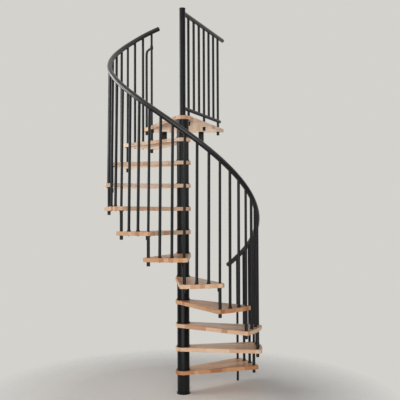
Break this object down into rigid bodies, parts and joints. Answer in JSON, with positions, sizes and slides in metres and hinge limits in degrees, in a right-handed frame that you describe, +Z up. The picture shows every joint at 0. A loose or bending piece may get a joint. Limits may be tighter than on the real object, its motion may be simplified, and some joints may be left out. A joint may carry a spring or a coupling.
{
  "type": "spiral staircase",
  "caption": "Spiral staircase with wooden treads stacked on a black steel centre pole, vertical bar balusters under a helical handrail, and a triangular landing with a guard.",
  "frame": {"origin": "On the floor at the centre of the pole's base plate.", "axes": "+Z up, +Y toward the wall that carries the landing, +X to the right seen from the front."},
  "size_m": [1.4, 1.5843, 3.4865],
  "materials": {
    "beech": "clear satin lacquer on finger-jointed beech",
    "black_steel": "satin black powder coat",
    "black_tube": "satin black powder coat with a faint brushed line",
    "black_rail": "smooth satin black"
  },
  "bodies": {
    "root": {"base_plate": "black_steel", "centre_pole": "black_steel", "pole_cap": "black_rail", "column_spacer_01": "black_tube", "column_spacer_02": "black_tube", "column_spacer_03": "black_tube", "column_spacer_04": "black_tube", "column_spacer_05": "black_tube", "column_spacer_06": "black_tube", "column_spacer_07": "black_tube", "column_spacer_08": "black_tube", "column_spacer_09": "black_tube", "column_spacer_10": "black_tube", "column_spacer_11": "black_tube", "column_spacer_12": "black_tube", "tread_01": "beech", "tread_02": "beech", "tread_03": "beech", "tread_04": "beech", "tread_05": "beech", "tread_06": "beech", "tread_07": "beech", "tread_08": "beech", "tread_09": "beech", "tread_10": "beech", "tread_11": "beech", "landing_platform": "beech", "link_balusters": "black_steel", "link_sleeves": "black_steel", "link_lock_screws": "black_steel", "link_end_nuts": "black_steel", "tread_balusters": "black_steel", "tread_baluster_collars": "black_steel", "handrail": "black_rail", "handrail_end_caps": "black_rail", "guard_top_rail": "black_rail", "guard_rail_end_cap": "black_rail", "guard_low_rail": "black_steel", "guard_bars": "black_steel", "landing_nuts": "black_steel", "corner_bar": "black_steel", "corner_bar_clip": "black_steel", "wall_bracket_left": "black_steel", "wall_bracket_right": "black_steel"}
  },
  "joints": []
}
